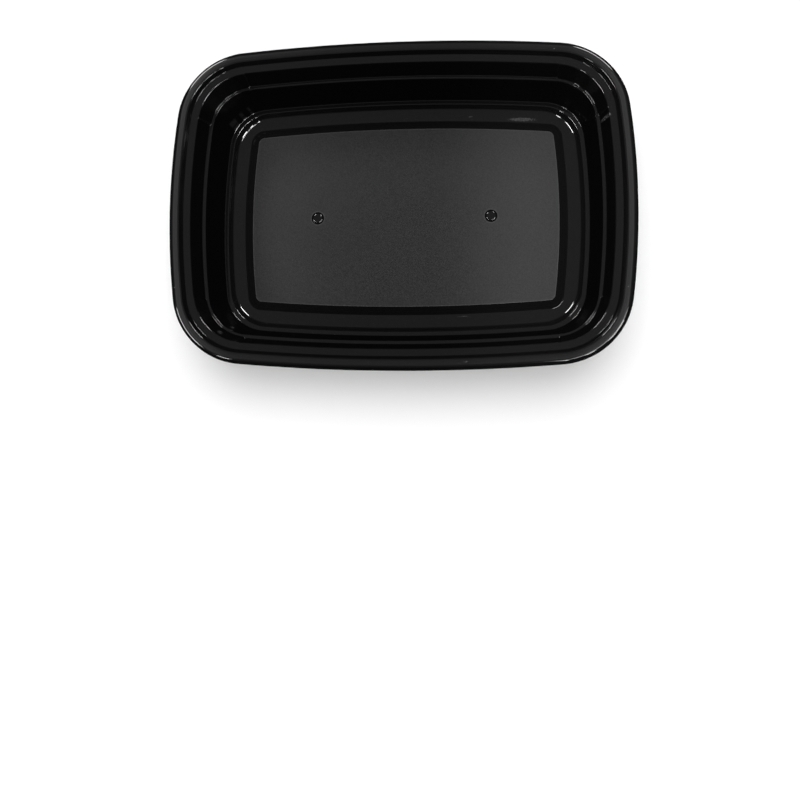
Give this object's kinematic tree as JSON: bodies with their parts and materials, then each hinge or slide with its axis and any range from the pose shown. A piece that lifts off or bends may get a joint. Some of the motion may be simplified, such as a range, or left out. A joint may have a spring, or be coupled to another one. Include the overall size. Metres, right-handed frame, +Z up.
{
  "type": "takeaway meal container",
  "caption": "Rectangular open food container in thin black plastic, with a rolled rim, a lid seat, a stepped wall and a raised floor panel.",
  "frame": {"origin": "on the surface it stands on, under the middle of the container", "axes": "+X along the length, +Y across the width, +Z up out of the open top"},
  "size_m": [0.222, 0.158, 0.038],
  "materials": {
    "black_plastic": "gloss black moulded polypropylene, with a fine matt grain on the floor panel and a satin rim"
  },
  "bodies": {
    "root": {"container": "black_plastic"}
  },
  "joints": []
}
